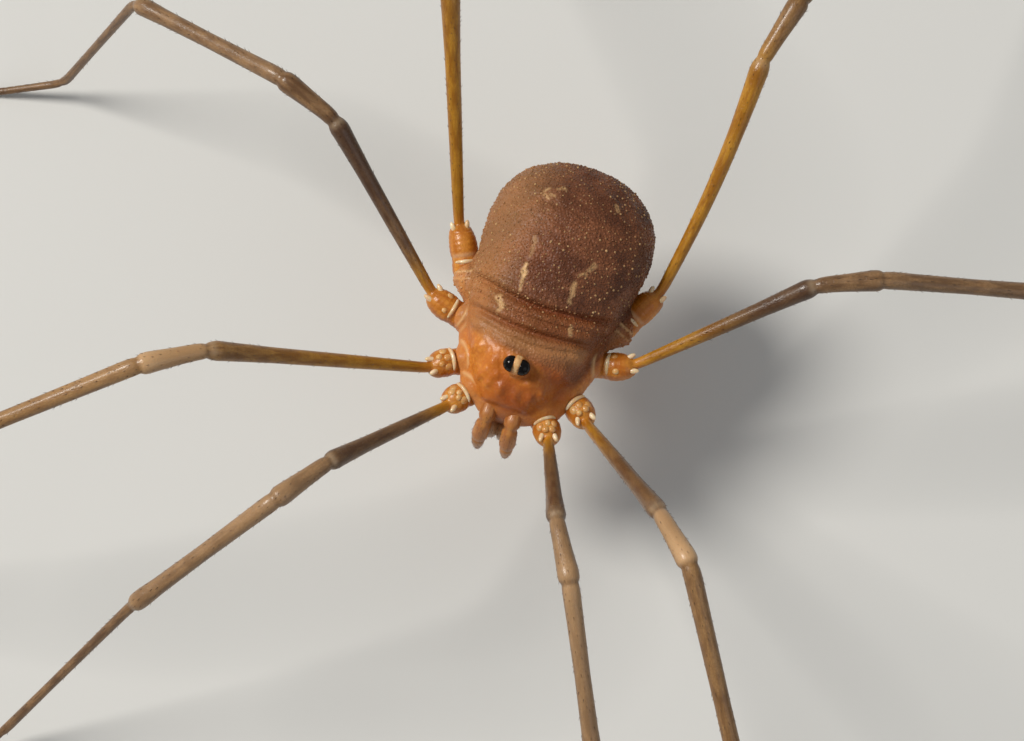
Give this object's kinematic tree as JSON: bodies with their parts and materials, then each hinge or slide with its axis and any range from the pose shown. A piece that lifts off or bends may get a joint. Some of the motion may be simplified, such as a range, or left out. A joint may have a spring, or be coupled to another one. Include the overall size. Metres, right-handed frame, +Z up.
{
  "type": "harvestman",
  "caption": "Still, life-size harvestman standing on long bent legs, with a globular granular abdomen, amber head shield, raised eye mound, pedipalps and chelicerae.",
  "frame": {"origin": "on the floor under the middle of the footprint, the box round all the leg tips", "axes": "the head faces -Y, the animal's left is +X, +Z is up from the floor"},
  "size_m": [0.0679, 0.0688, 0.0154],
  "materials": {
    "amber_shell": "waxy, translucent-looking amber cuticle with fine granules",
    "brown_granular_shell": "finely granular dark brown cuticle with tiny glossy points",
    "eye_black": "glossy black lens",
    "leg_amber": "smooth, slightly glossy amber cuticle",
    "leg_brown": "smooth brown cuticle with fine short bristles and paler joints"
  },
  "bodies": {
    "root": {"prosoma": "amber_shell", "abdomen": "brown_granular_shell", "ocularium": "amber_shell", "eye_left": "eye_black", "eye_right": "eye_black", "pedipalp_left": "leg_amber", "pedipalp_right": "leg_amber", "chelicera_left": "leg_amber", "chelicera_right": "leg_amber", "leg1_left_coxa": "leg_amber", "leg1_left_femur": "leg_brown", "leg1_left_patella": "leg_brown", "leg1_left_tibia": "leg_brown", "leg1_left_metatarsus": "leg_brown", "leg1_left_tarsus": "leg_brown", "leg1_right_coxa": "leg_amber", "leg1_right_femur": "leg_brown", "leg1_right_patella": "leg_brown", "leg1_right_tibia": "leg_brown", "leg1_right_metatarsus": "leg_brown", "leg1_right_tarsus": "leg_brown", "leg2_left_coxa": "leg_amber", "leg2_left_femur": "leg_brown", "leg2_left_patella": "leg_brown", "leg2_left_tibia": "leg_brown", "leg2_left_metatarsus": "leg_brown", "leg2_left_tarsus": "leg_brown", "leg2_right_coxa": "leg_amber", "leg2_right_femur": "leg_brown", "leg2_right_patella": "leg_brown", "leg2_right_tibia": "leg_brown", "leg2_right_metatarsus": "leg_brown", "leg2_right_tarsus": "leg_brown", "leg3_left_coxa": "leg_amber", "leg3_left_femur": "leg_brown", "leg3_left_patella": "leg_brown", "leg3_left_tibia": "leg_brown", "leg3_left_metatarsus": "leg_brown", "leg3_left_tarsus": "leg_brown", "leg3_right_coxa": "leg_amber", "leg3_right_femur": "leg_brown", "leg3_right_patella": "leg_brown", "leg3_right_tibia": "leg_brown", "leg3_right_metatarsus": "leg_brown", "leg3_right_tarsus": "leg_brown", "leg4_left_coxa": "leg_amber", "leg4_left_femur": "leg_amber", "leg4_left_patella": "leg_brown", "leg4_left_tibia": "leg_brown", "leg4_left_metatarsus": "leg_brown", "leg4_left_tarsus": "leg_brown", "leg4_right_coxa": "leg_amber", "leg4_right_femur": "leg_amber", "leg4_right_patella": "leg_brown", "leg4_right_tibia": "leg_brown", "leg4_right_metatarsus": "leg_brown", "leg4_right_tarsus": "leg_brown"}
  },
  "joints": []
}
